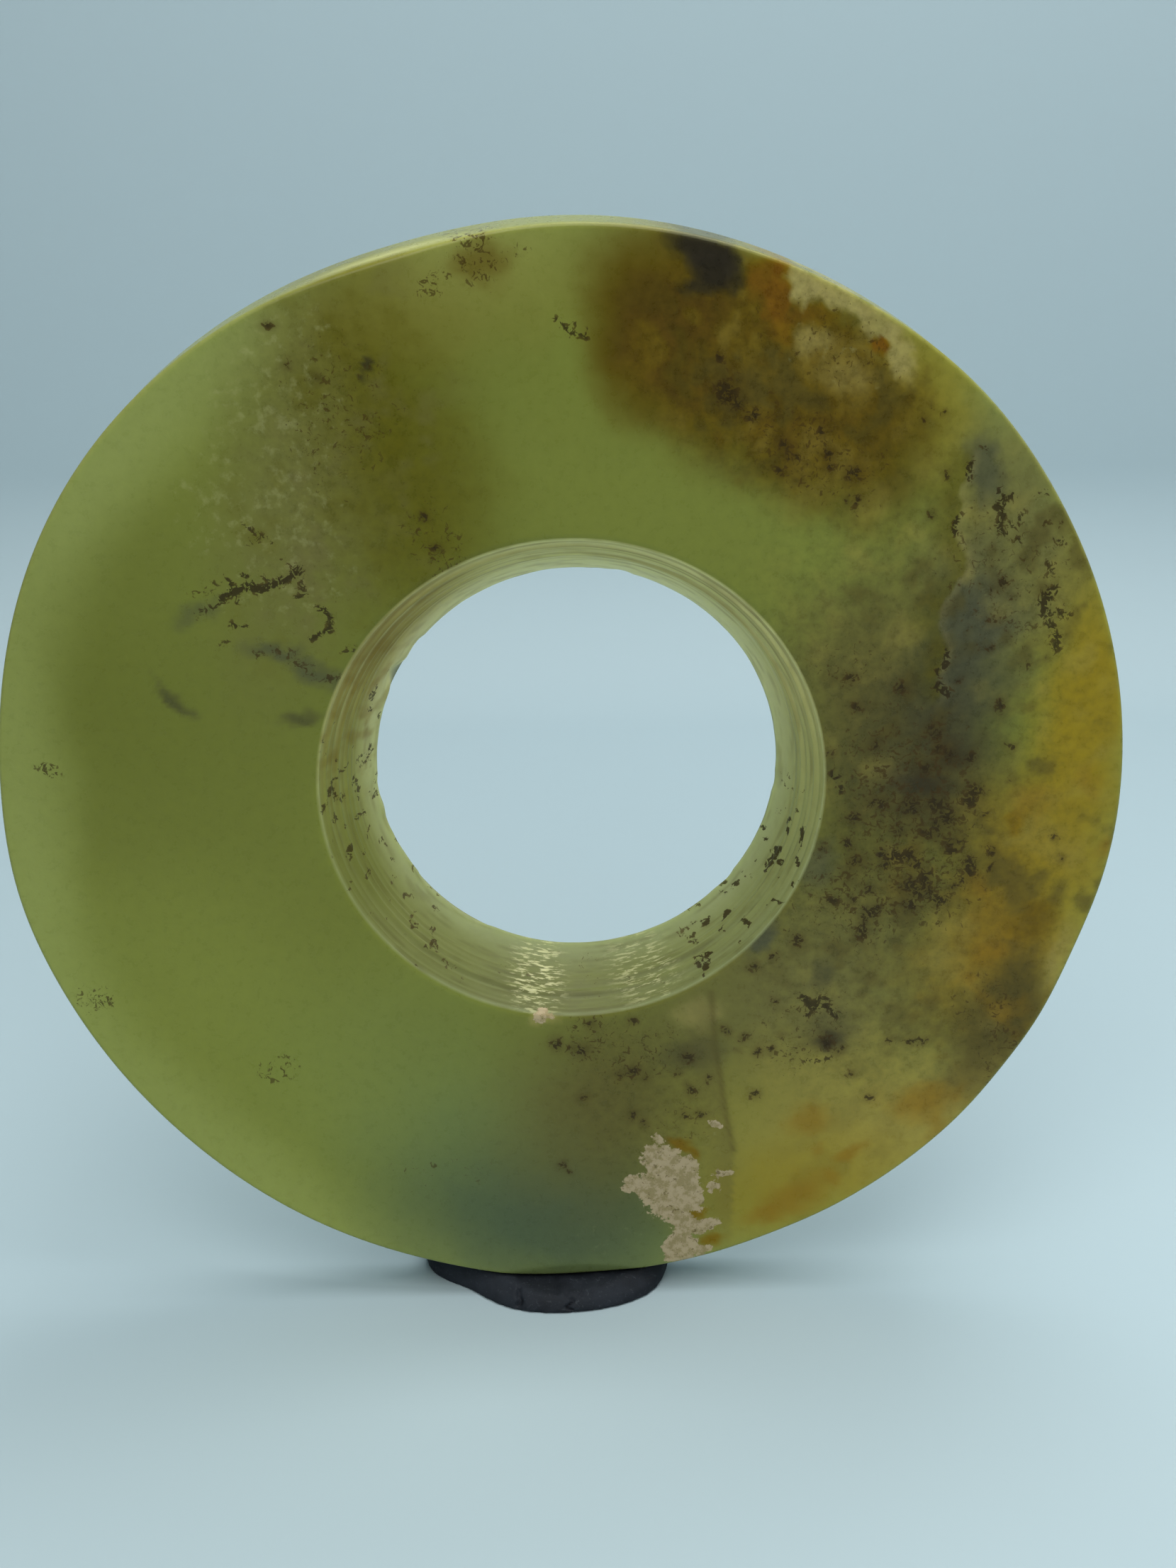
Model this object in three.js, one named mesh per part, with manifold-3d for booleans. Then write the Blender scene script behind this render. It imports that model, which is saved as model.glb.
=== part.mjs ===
// A plain jade bi: a round, slightly uneven stone disc with a hole drilled through it from the front,
// standing on edge in a small lump of dark modelling putty.
// Millimetres. +Z is up, the disc's front faces -Y, and the origin is on the ground at the middle
// of the whole object's box.
import * as THREE from 'three';
import { mergeVertices } from 'three/addons/utils/BufferGeometryUtils.js';
import Module from 'manifold-3d';

const wasm = await Module();
wasm.setup();

// Driving sizes of the disc
const discRadius = 60;
const discThickness = 8;
const rimThickness = 7.6;
const rimRounding = 0.4;
const faceFallStart = 38;
const holeFrontRadius = 27.1;
const holeBackRadius = 21.95;
const holeShoulder = 0.3;

// The hole was drilled a little off the middle, and not quite square to the face
const holeFrontOffset = { x: 0.5, z: 1.1 };
const holeBackOffset = { x: 1.25, z: 1.3 };
const holeOffsetFade = 16;

// Ledges that the drill left in the hole's wall, in front of a smooth back lip
const ledgeCount = 4;
const smoothLip = 4.1;
const ledgeDepth = 0.22;

// How far the hand-ground outline swells (+) or lies flat (-), in degrees round the disc from +X towards +Z
const outlineSwells = [
  { at: 46, width: 12, height: 0.35 },
  { at: 105, width: 13, height: -0.5 },
  { at: 146, width: 24, height: 1.05 },
  { at: 190, width: 11, height: 0.45 },
  { at: 222, width: 16, height: -0.3 },
  { at: 266, width: 8, height: 0.35 },
  { at: 293, width: 6, height: -0.15 },
  { at: 326, width: 6, height: -0.25 },
  { at: 341, width: 9, height: -0.55 },
];

// A wider bevel worn along the front edge, upper left, and how far it runs back over the rim
const wornBevel = { at: 108, width: 11, height: 0.55 };
const wornBevelRun = 2.6;

// Driving sizes of the putty
const bedHeight = 2.5;
const puttyFrontReach = 3.9;
const puttyBackReach = 9.5;
const puttyHalfWidth = 14.8;
const puttyShift = -2.9;
const lipRise = 0.5;
const riserRise = 8.5;
const sideSlant = 2.4;
const lipSlope = 4;
const seatClearance = 0.3;
const puttySwells = [
  { at: 222, width: 30, height: -3.1 },
  { at: 315, width: 28, height: 0.9 },
  { at: 60, width: 30, height: 0.8 },
];

// How finely the round shapes are cut
const discSegments = 96;
const faceRings = 3;
const rimSteps = 2;
const puttySegments = 44;

const jadeColor = 0x74803c;
const puttyColor = 0x33373f;

const degrees = THREE.MathUtils.radToDeg;
const radians = THREE.MathUtils.degToRad;

function smoothStep(low, high, value) {
  return THREE.MathUtils.smoothstep(value, low, high);
}

// Sum of soft swells round a closed outline, at an angle in degrees
function swell(list, angle) {
  let total = 0;
  for (const { at, width, height } of list) {
    const away = THREE.MathUtils.euclideanModulo(angle - at + 180, 360) - 180;
    total += height * Math.exp(-((away / width) ** 2));
  }
  return total;
}

// Angle in the disc's own plane, from +X towards +Z
function discAngle(x, z) {
  return degrees(Math.atan2(z, x));
}

// Half of the disc's thickness at a distance from its middle: full near the hole, less at the rim
function halfThickness(radius) {
  const fall = (discThickness - rimThickness) / 2;
  return discThickness / 2 - fall * smoothStep(faceFallStart, discRadius, radius);
}

// The hole's wall from the back lip to the front edge, as [radius, y]
function holeWall() {
  const half = discThickness / 2;
  const taper = (holeFrontRadius - holeBackRadius) / discThickness;
  const coneRadius = (y) => holeBackRadius + taper * (half - y);
  const points = [[holeBackRadius, half]];
  const pitch = (discThickness - smoothLip - holeShoulder) / ledgeCount;
  for (let i = 0; i < ledgeCount; i += 1) {
    const y = half - smoothLip - pitch * i;
    points.push([coneRadius(y) - ledgeDepth, y]);
    points.push([coneRadius(y - pitch / 3), y - pitch / 3]);
  }
  points.push([holeFrontRadius, -half + holeShoulder]);
  return points;
}

// One face from the hole outwards, on the front (side -1) or the back (side 1)
function face(side) {
  const start = side < 0 ? holeFrontRadius + holeShoulder : holeBackRadius;
  const end = discRadius - rimRounding;
  const points = [[start, side * halfThickness(start)]];
  for (let i = 0; i <= faceRings; i += 1) {
    const radius = THREE.MathUtils.lerp(Math.max(faceFallStart, start + holeShoulder), end, i / faceRings);
    points.push([radius, side * halfThickness(radius)]);
  }
  return points;
}

// The rim from the front face's edge to the back face's edge
function rim() {
  const half = halfThickness(discRadius - rimRounding);
  const corner = (side, share) => {
    const turn = (Math.PI / 2) * share;
    const out = Math.sin(turn) * rimRounding;
    const along = half - rimRounding + Math.cos(turn) * rimRounding;
    return [discRadius - rimRounding + out, side * along];
  };
  const shares = Array.from({ length: rimSteps }, (_, i) => (i + 1) / rimSteps);
  const front = shares.map((share) => corner(-1, share));
  const back = shares.map((share) => corner(1, share)).reverse();
  return [...front, ...back];
}

// The disc's whole section, closed on itself
function discSection() {
  const around = [...face(-1), ...rim(), ...face(1).reverse(), ...holeWall().slice(1)];
  around.push(around[0]);
  return around.map(([radius, y]) => new THREE.Vector2(radius, y));
}

// Moves a turned point from the perfect circle to the real, uneven one
function unevenPoint(point) {
  const radius = Math.hypot(point.x, point.z);
  const angle = discAngle(point.x, point.z);
  const outward = smoothStep(faceFallStart, discRadius - rimRounding, radius);
  const behindFront = point.y + halfThickness(discRadius);
  const bevel = swell([wornBevel], angle) * (1 - smoothStep(0, wornBevelRun, behindFront));
  const moved = radius + outward * (swell(outlineSwells, angle) - bevel);
  const inward = 1 - smoothStep(holeFrontRadius, holeFrontRadius + holeOffsetFade, radius);
  const depth = 0.5 + point.y / discThickness;
  const shiftX = THREE.MathUtils.lerp(holeFrontOffset.x, holeBackOffset.x, depth);
  const shiftZ = THREE.MathUtils.lerp(holeFrontOffset.z, holeBackOffset.z, depth);
  point.x = (point.x / radius) * moved + inward * shiftX;
  point.z = (point.z / radius) * moved + inward * shiftZ;
}

function movePoints(geometry, move) {
  const position = geometry.attributes.position;
  const point = new THREE.Vector3();
  for (let i = 0; i < position.count; i += 1) {
    point.fromBufferAttribute(position, i);
    move(point);
    position.setXYZ(i, point.x, point.y, point.z);
  }
  return geometry;
}

// Keeps only positions, and joins the points that meet
function weld(geometry) {
  geometry.deleteAttribute('normal');
  geometry.deleteAttribute('uv');
  return mergeVertices(geometry, 1e-5);
}

function discGeometry() {
  const turned = weld(new THREE.LatheGeometry(discSection(), discSegments));
  return movePoints(turned, unevenPoint);
}

function toSolid(geometry) {
  return new wasm.Manifold(new wasm.Mesh({
    numProp: 3,
    vertProperties: new Float32Array(geometry.attributes.position.array),
    triVerts: new Uint32Array(geometry.index.array),
  }));
}

function toGeometry(solid) {
  const mesh = solid.getMesh();
  const geometry = new THREE.BufferGeometry();
  geometry.setAttribute('position', new THREE.BufferAttribute(new Float32Array(mesh.vertProperties), 3));
  geometry.setIndex(new THREE.BufferAttribute(new Uint32Array(mesh.triVerts), 1));
  return geometry;
}

// Height of the disc's lowest point below its middle
const discDrop = discRadius + swell(outlineSwells, 270);
const discCentreHeight = bedHeight + discDrop;
const frontFaceY = -discThickness / 2;

// The space that the pressed-in disc leaves in the putty, which flares down towards the front
function seatCutter() {
  const radius = discRadius + seatClearance;
  const back = discThickness / 2 + seatClearance;
  const front = frontFaceY - 2 * puttyFrontReach;
  const flare = (frontFaceY - front) * Math.tan(radians(lipSlope));
  const outline = [
    [0, front],
    [radius + flare, front],
    [radius, frontFaceY],
    [radius, back],
    [0, back],
  ].map(([r, y]) => new THREE.Vector2(r, y));
  const turned = weld(new THREE.LatheGeometry(outline, discSegments));
  movePoints(turned, (point) => {
    const r = Math.hypot(point.x, point.z);
    if (r === 0) return;
    const scale = (r + swell(outlineSwells, discAngle(point.x, point.z))) / r;
    point.x *= scale;
    point.z *= scale;
  });
  turned.translate(0, 0, discCentreHeight);
  return toSolid(turned);
}

// The putty before the disc was pressed in: a rounded pad, low in front and higher behind
function puttyPad() {
  const middleY = (puttyBackReach - puttyFrontReach) / 2;
  const halfDepth = discThickness / 2 + (puttyFrontReach + puttyBackReach) / 2;
  const section = [
    [0, 0],
    [puttyHalfWidth - sideSlant * 0.2, 0],
    [puttyHalfWidth, 0.1],
    [puttyHalfWidth - sideSlant * 0.3, 0.45],
    [puttyHalfWidth - sideSlant, 0.82],
    [puttyHalfWidth - sideSlant * 1.6, 0.95],
    [puttyHalfWidth - sideSlant * 2.6, 1],
    [puttyHalfWidth / 2, 1],
    [puttyHalfWidth / 4, 1],
    [0, 1],
  ].map(([r, share]) => new THREE.Vector2(r, share));
  const pad = new THREE.LatheGeometry(section, puttySegments);
  pad.rotateX(Math.PI / 2);
  const welded = weld(pad);
  movePoints(welded, (point) => {
    const r = Math.hypot(point.x, point.y);
    const grow = r === 0 ? 1 : 1 + swell(puttySwells, degrees(Math.atan2(point.y, point.x))) / puttyHalfWidth;
    const x = point.x * grow + puttyShift;
    const y = (point.y * grow * halfDepth) / puttyHalfWidth + middleY;
    const rise = THREE.MathUtils.lerp(lipRise, riserRise, smoothStep(frontFaceY, discThickness / 2, y));
    const lean = sideSlant * point.z * smoothStep(0, puttyHalfWidth, point.x);
    point.set(x + lean, y, point.z * (bedHeight + rise));
  });
  return toSolid(welded);
}

function puttyGeometry() {
  return toGeometry(puttyPad().subtract(seatCutter()));
}

function jadeDisc() {
  const material = new THREE.MeshStandardMaterial({ color: jadeColor, roughness: 0.28, metalness: 0 });
  const geometry = discGeometry();
  geometry.translate(0, 0, discCentreHeight);
  const mesh = new THREE.Mesh(geometry, material);
  mesh.name = 'jade_disc';
  return mesh;
}

function puttyFoot() {
  const material = new THREE.MeshStandardMaterial({ color: puttyColor, roughness: 0.8, metalness: 0 });
  const mesh = new THREE.Mesh(puttyGeometry(), material);
  mesh.name = 'putty_foot';
  return mesh;
}

const bi = new THREE.Group();
bi.add(jadeDisc(), puttyFoot());

// The origin goes to the middle of the box's underside
const box = new THREE.Box3().setFromObject(bi, true);
const middle = box.getCenter(new THREE.Vector3());
bi.position.set(-middle.x, -middle.y, 0);
bi.updateMatrixWorld(true);

export default bi;
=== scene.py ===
import math
import bmesh
import bpy
import numpy as np
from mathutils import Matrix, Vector


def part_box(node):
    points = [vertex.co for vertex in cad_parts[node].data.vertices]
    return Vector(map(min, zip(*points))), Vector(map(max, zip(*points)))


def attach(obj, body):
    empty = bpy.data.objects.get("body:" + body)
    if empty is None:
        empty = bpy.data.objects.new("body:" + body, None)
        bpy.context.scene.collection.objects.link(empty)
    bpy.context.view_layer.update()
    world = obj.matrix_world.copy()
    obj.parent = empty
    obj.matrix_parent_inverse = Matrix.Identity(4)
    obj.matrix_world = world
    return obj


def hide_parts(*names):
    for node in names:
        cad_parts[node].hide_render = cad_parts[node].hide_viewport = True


# A plain jade disc with a drilled hole, held upright by a lump of dark putty.
# The script's sizes are in millimetres and become metres where a mesh or a light is made.

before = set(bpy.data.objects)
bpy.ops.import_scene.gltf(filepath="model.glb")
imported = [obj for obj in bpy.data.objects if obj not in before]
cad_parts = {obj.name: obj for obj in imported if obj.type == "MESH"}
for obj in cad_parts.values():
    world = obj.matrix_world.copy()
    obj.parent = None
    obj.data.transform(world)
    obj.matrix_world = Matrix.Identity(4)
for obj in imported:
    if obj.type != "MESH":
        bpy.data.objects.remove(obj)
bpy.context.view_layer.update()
mm = 0.001

# Where the disc's middle is: half-way through its thickness, and a little off its box's middle
discLow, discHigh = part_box("jade_disc")
outlineShift = (0.17, 0.2)
discCentre = Vector((
    (discLow.x + discHigh.x) / 2 + outlineShift[0] * mm,
    (discLow.y + discHigh.y) / 2,
    (discLow.z + discHigh.z) / 2 + outlineShift[1] * mm,
))


# Small tools for fields over many points at once

def smooth(low, high, value):
    share = np.clip((value - low) / (high - low), 0, 1)
    return share * share * (3 - 2 * share)


def lumps(points, size, seed, octaves=1):
    # smooth noise from -1 to 1 at each point, with lumps about size millimetres across
    turn = np.array([[0.80, 0.36, -0.48], [-0.60, 0.48, -0.64], [0.0, 0.80, 0.60]])
    total = np.zeros(len(points))
    strength = 1.0
    whole = 0.0
    for octave in range(octaves):
        cells = (points / size + seed * 17.3 + octave * 5.1) @ turn
        base = np.floor(cells).astype(np.int64)
        share = cells - base
        share = share * share * (3 - 2 * share)
        for corner in range(8):
            step = np.array([corner & 1, corner >> 1 & 1, corner >> 2])
            key = (base + step) @ np.array([73856093, 19349663, 83492791])
            key = (key ^ (key >> 13)) * 1274126177 % 4294967291
            value = ((key ^ (key >> 15)) % 65536) / 32767.5 - 1
            total += strength * value * np.prod(np.where(step, share, 1 - share), axis=1)
        whole += strength
        strength *= 0.5
        size *= 0.5
    return total / whole


def drift(points, pushes):
    # the points pushed about by noise, so that what is drawn on them gets ragged edges
    for size, amount, seed in pushes:
        sides = [lumps(points, size, seed, 3), 0 * points[:, 0], lumps(points, size, seed + 1, 3)]
        points = points + np.stack(sides, 1) * amount
    return points


def peak(away, width):
    # 1 where away is 0, and less on both sides
    return np.exp(-(away / width) ** 2)


def oval(points, middle, reach, turn, edge):
    # 1 inside a turned oval in the disc's plane and 0 outside, with a soft edge
    away = points[:, [0, 2]] - middle
    c, s = math.cos(math.radians(turn)), math.sin(math.radians(turn))
    along = (away[:, 0] * c + away[:, 1] * s) / reach[0]
    across = (away[:, 1] * c - away[:, 0] * s) / reach[1]
    return 1 - smooth(1 - edge, 1 + edge, np.hypot(along, across))


def strongest(points, areas):
    # the strongest of several soft ovals at each point
    most = np.zeros(len(points))
    for *place, amount in areas:
        most = np.maximum(most, oval(points, *place) * amount)
    return most


def lineDistance(points, line):
    # distance in the disc's plane to a bent line
    best = np.full(len(points), 99.0)
    flat = points[:, [0, 2]]
    for a, b in zip(np.array(line), np.array(line)[1:]):
        along = b - a
        share = np.clip((flat - a) @ along / (along @ along), 0, 1)
        best = np.minimum(best, np.linalg.norm(flat - a - share[:, None] * along, axis=1))
    return best


def angleRound(points, middle=(0, 0)):
    # degrees round a middle in the disc's plane, from +X towards +Z
    return np.degrees(np.arctan2(points[:, 2] - middle[1], points[:, 0] - middle[0]))


def swellAt(swells, angle):
    # sum of soft swells round the outline
    total = np.zeros_like(angle)
    for at, width, height in swells:
        away = (angle - at + 180) % 360 - 180
        total += height * peak(away, width)
    return total


# Small tools for objects and meshes

def newObject(name, data):
    made = bpy.data.objects.new(name, data)
    bpy.context.scene.collection.objects.link(made)
    return made


def makeMesh(name, vertices, faces):
    mesh = bpy.data.meshes.new(name)
    mesh.from_pydata(vertices, [], faces)
    mesh.update()
    return newObject(name, mesh)


def rework(mesh, change):
    build = bmesh.new()
    build.from_mesh(mesh)
    change(build)
    build.to_mesh(mesh)
    build.free()


def readVectors(items, key):
    values = np.empty(len(items) * 3)
    items.foreach_get(key, values)
    return values.reshape(-1, 3)


# Camera, at the photograph's angle

cameraSettings = {
    "lens": 48.0,
    "sensor": 36.0,
    "fromDisc": (-4.94, -213.57, 79.76),
    "downDegrees": 20.463,
    "rightDegrees": 1.952,
}


def makeCamera(settings):
    camera = newObject("camera", bpy.data.cameras.new("camera"))
    camera.data.lens = settings["lens"]
    camera.data.sensor_width = settings["sensor"]
    camera.data.clip_start = 0.01
    camera.location = discCentre + Vector(settings["fromDisc"]) * mm
    tilt = math.radians(90 - settings["downDegrees"])
    camera.rotation_euler = (tilt, 0, -math.radians(settings["rightDegrees"]))
    bpy.context.scene.camera = camera


makeCamera(cameraSettings)
print("camera placed")


# The disc's shape

disc = {
    "radius": 60.0,
    "thickness": 8.0,
    "rimThickness": 7.6,
    "rimRounding": 0.4,
    "faceFallStart": 38.0,
    "holeFront": 27.1,
    "holeBack": 21.95,
    "holeShoulder": 0.3,
    "frontOffset": (0.5, 1.1),  # the hole is a little off the middle, and leans
    "backOffset": (1.25, 1.3),
    "offsetFade": 16.0,
    "swells": [  # degrees from +X towards +Z, width, height
        (46, 12, 0.35), (105, 13, -0.5), (146, 24, 1.05), (190, 11, 0.45), (222, 16, -0.3),
        (266, 8, 0.35), (293, 6, -0.15), (326, 6, -0.25), (341, 9, -0.55),
    ],
    "wornBevel": (108, 11, 0.55),
    "wornBevelRun": 2.6,
    "footBevel": (270.5, 8.0, 1.55),  # a flat rubbed on the front's lowest edge
    "footBevelSlope": 0.3,
    "ledges": [0.55, 1.0, 1.3, 1.9, 2.25, 2.9, 3.25, 3.9, 4.7],  # depths of the drill's ledges
    "ledgesEnd": 5.2,
    "lipChips": 0.8,  # how deep the back lip is chipped
    "lipBite": (152, 3.2, 0.9),  # and its one larger chip
    "scratchDepth": 0.05,
    "faceWave": 0.05,
    "segments": 720,
    "faceRows": 58,
    "edgeRows": 10,
    "wallRows": (9, 32),  # in the smooth lip, and in the ledges
    "backRows": 14,
}


def halfThickness(radius):
    fall = (disc["thickness"] - disc["rimThickness"]) / 2
    return disc["thickness"] / 2 - fall * smooth(disc["faceFallStart"], disc["radius"], radius)


def ledgePlace(i, angle):
    # how deep a ledge lies at an angle, wandering a little
    radians = np.radians(angle)
    return disc["ledges"][i] + 0.13 * np.sin(radians + 1.7 * i) + 0.06 * np.sin(3 * radians + 2.3 * i)


def wallRadius(depth, angle):
    # the drilled cone, with ledges in front that fade into a smooth lip
    front, back = disc["holeFront"], disc["holeBack"]
    cone = front - (front - back) * depth / disc["thickness"]
    count = len(disc["ledges"])
    places = [ledgePlace(i, angle) for i in range(count)]
    steps = sum(smooth(place - 0.1, place + 0.1, depth) for place in places)
    ledge = (front - back) * disc["ledgesEnd"] / disc["thickness"] / count
    share = 0.75 * (1 - smooth(3.2, 5.4, depth))
    return cone * (1 - share) + (front - ledge * steps) * share


def discRows():
    # rows of (kind, radius or depth, y) round the section: front face, rim, back face, hole
    half = disc["thickness"] / 2
    rounding = disc["rimRounding"]
    edge = disc["radius"] - rounding
    start = disc["holeFront"] + disc["holeShoulder"]
    wide = np.linspace(start, 57.0, disc["faceRows"])
    fine = np.linspace(57.0, edge, disc["edgeRows"] + 1)[1:]
    rows = [("front", r, -float(halfThickness(r))) for r in [*wide, *fine]]
    rimHalf = float(halfThickness(edge)) - rounding
    corners = [(edge + math.sin(turn) * rounding, rimHalf + math.cos(turn) * rounding)
               for turn in map(math.radians, (30, 60, 90))]
    rows += [("rim", r, -y) for r, y in corners]
    rows += [("rim", disc["radius"], float(y)) for y in np.linspace(-rimHalf, rimHalf, 8)[1:]]
    rows += [("rim", r, y) for r, y in corners[1::-1]]
    for r in np.linspace(edge, disc["holeBack"] + 0.25, disc["backRows"]):
        rows.append(("back", r, float(halfThickness(r))))
    lipRows, ledgeRows = disc["wallRows"]
    lip = np.linspace(disc["thickness"] - 0.12, disc["ledgesEnd"], lipRows, endpoint=False)
    for depth in [*lip, *np.linspace(disc["ledgesEnd"], 0.16, ledgeRows)]:
        rows.append(("wall", depth, depth - half))
    return rows


def discPoints(rows):
    count = disc["segments"]
    angle = np.arange(count) * 360 / count
    radians = np.radians(angle)
    edge = disc["radius"] - disc["rimRounding"]
    swells = swellAt(disc["swells"], angle)
    wearAndHighlight = swellAt([disc["wornBevel"]], angle)
    at, width, reach = disc["footBevel"]
    foot = reach * np.clip(1 - (((angle - at + 180) % 360 - 180) / width) ** 2, 0, 1)
    ring = np.stack([np.cos(radians) * 5, 0 * radians, np.sin(radians) * 5], 1)
    chips = np.clip(lumps(ring, 1.0, 3, 2) - 0.15, 0, 1)
    bite = swellAt([disc["lipBite"]], angle)
    rings = []
    for kind, first, y in rows:
        height = np.full(count, y)
        if kind == "wall":
            atLip = smooth(disc["thickness"] - 2.0, disc["thickness"] - 0.1, first)
            radius = wallRadius(first, angle) + atLip * (disc["lipChips"] * chips + bite)
        else:
            behind = max(y + float(halfThickness(disc["radius"])), 0.0)
            bevel = wearAndHighlight * max(0.0, 1 - behind / disc["wornBevelRun"])
            radius = first + smooth(disc["faceFallStart"], edge, first) * (swells - bevel)
        if kind in ("front", "rim") and y < 0:
            into = np.clip(first - (disc["radius"] - foot), 0, None)
            height = height + into * disc["footBevelSlope"] * (foot > 0) * smooth(0.0, -2.8, y)
        inward = 1 - smooth(disc["holeFront"], disc["holeFront"] + disc["offsetFade"], radius)
        depth = 0.5 + y / disc["thickness"]
        shift = np.array(disc["frontOffset"]) * (1 - depth) + np.array(disc["backOffset"]) * depth
        x = np.cos(radians) * radius + inward * shift[0]
        z = np.sin(radians) * radius + inward * shift[1]
        rings.append(np.stack([x, height, z], 1))
    points = np.concatenate(rings)
    kinds = np.repeat([kind for kind, _, _ in rows], count)
    onFace = (kinds == "front") | (kinds == "back")
    wave = lumps(points * (1, 0.2, 1), 15.0, 1) + 0.25 * lumps(points * (1, 0.2, 1), 4.0, 2)
    points[:, 1] -= np.sign(points[:, 1]) * disc["faceWave"] * np.abs(wave) * onFace
    out = points[:, [0, 2]] / np.linalg.norm(points[:, [0, 2]], axis=1)[:, None]
    scratch = lumps(points * (0.35, 3.0, 0.35), 1.0, 3, 2) * (kinds == "wall")
    points[:, [0, 2]] += out * (scratch * disc["scratchDepth"])[:, None]
    low, high = ((np.array(corner) - np.array(discCentre)) / mm for corner in (discLow, discHigh))
    return np.clip(points, low, high), kinds


# What is in the stone

# Colours as they look in the photograph's light
palette = {
    "leaf": (99, 109, 50),
    "shadeLeaf": (88, 97, 40),
    "lightLeaf": (112, 124, 58),
    # painted glow of light through the thin edge
    "edgeGlow": (130, 144, 84),
    "sea": (92, 112, 76),
    "olive": (78, 77, 24),
    # painted shade of the putty behind the disc
    "puttyShade": (61, 78, 64),
    "drab": (84, 82, 46),
    "grey": (94, 94, 56),
    "slate": (62, 67, 56),
    "ash": (56, 57, 42),
    "ink": (42, 41, 34),
    "bark": (68, 64, 34),
    "umber": (72, 58, 16),
    "khaki": (100, 90, 40),
    "amber": (114, 90, 28),
    "rust": (100, 72, 6),
    "soot": (48, 39, 22),
    "honey": (124, 111, 32),
    "straw": (131, 124, 62),
    "bone": (141, 136, 84),
    # lip and wallGlow are painted glow of light through the thin hole wall, and lip also its painted
    # highlights
    "lip": (150, 163, 124),
    "wall": (116, 123, 72),
    "wallGlow": (146, 159, 108),
    "rim": (114, 122, 72),
    # painted highlight on the worn bevel
    "wearAndHighlight": (176, 184, 130),
}

# Soft clouds: colour, middle (x, z), half-sizes, turn in degrees, edge softness, strength
clouds = [
    ("lightLeaf", (8, 33), (26, 9), -15, 0.9, 0.5),
    ("lightLeaf", (3, 53), (7, 9), 0, 0.8, 0.55),
    ("lightLeaf", (-33, -36), (24, 14), -42, 0.9, 0.6),
    ("sea", (-18, -34), (14, 12), -30, 0.9, 0.25),
    ("shadeLeaf", (-42, 8), (14, 12), 0, 0.9, 0.3),
    ("olive", (-19, 44), (7, 14), 10, 0.9, 0.85),
    ("olive", (-16, 31), (7, 9), -20, 0.9, 0.55),
    ("straw", (-10, 54), (13, 5), 10, 0.9, 0.3),
    ("grey", (-28, 34), (6.5, 17), -5, 0.9, 0.6),
    # painted glow along the thin left edges
    ("edgeGlow", (-46, 39), (5, 18), -48, 0.9, 0.4),
    ("edgeGlow", (-57, -2), (3.5, 22), 0, 0.9, 0.3),
    ("edgeGlow", (-38, -44), (20, 4), -47, 0.9, 0.35),
    ("sea", (-8, -44), (14, 10), 0, 0.9, 0.4),
    # painted shade where the putty behind the disc holds back the light through the stone
    ("puttyShade", (-2, -54), (15, 8), 0, 0.8, 0.8),
    ("puttyShade", (-8, -45), (12, 7), 0, 0.9, 0.25),
    ("drab", (4, -38), (10, 12), 0, 0.9, 0.75),
    ("umber", (20, 46), (17, 10), -33, 0.45, 0.85),
    ("umber", (11, 51), (6.5, 9), -10, 0.6, 0.8),
    ("khaki", (22, 44), (9, 5), -25, 0.7, 0.6),
    ("khaki", (31, 43), (4, 5), 0, 0.7, 0.5),
    ("umber", (29, 38), (8, 6), -40, 0.6, 0.5),
    ("honey", (38, 42), (3.5, 8), 20, 0.8, 0.5),
    ("drab", (33, 14), (9, 13), -20, 0.8, 0.8),
    ("grey", (46, 27), (7, 13), 0, 0.6, 0.8),
    ("slate", (42, 17), (3.4, 9), -8, 0.6, 0.75),
    ("ash", (40, 7), (5.5, 8), -5, 0.8, 0.7),
    ("ash", (37, 1), (9, 5), 0, 0.9, 0.5),
    ("bark", (37, -8), (11, 9), 0, 0.8, 0.4),
    ("bark", (33, 2), (8, 12), 0, 0.8, 0.35),
    ("drab", (28, -22), (16, 13), 0, 0.8, 0.65),
    ("bark", (8, -36), (8, 10), 0, 0.9, 0.3),
    ("grey", (26, -24), (13, 9), 10, 0.9, 0.6),
    ("straw", (31, -40), (16, 10), 20, 0.8, 0.65),
    ("straw", (27, -46), (12, 7), 22, 0.9, 0.35),
    ("honey", (55, 8), (5, 16), 5, 0.7, 0.95),
    ("amber", (49, -8), (6, 9), 10, 0.9, 0.6),
    ("honey", (54, -12), (5, 14), 12, 0.9, 0.5),
    ("amber", (47, -20), (6, 7), -20, 0.8, 0.7),
    ("bark", (47, -30), (4.5, 10), -22, 0.5, 0.9),
    ("straw", (40, -41), (10, 6), 42, 0.8, 0.8),
    ("honey", (27, -50), (11, 6), 20, 0.8, 0.5),
]

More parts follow.
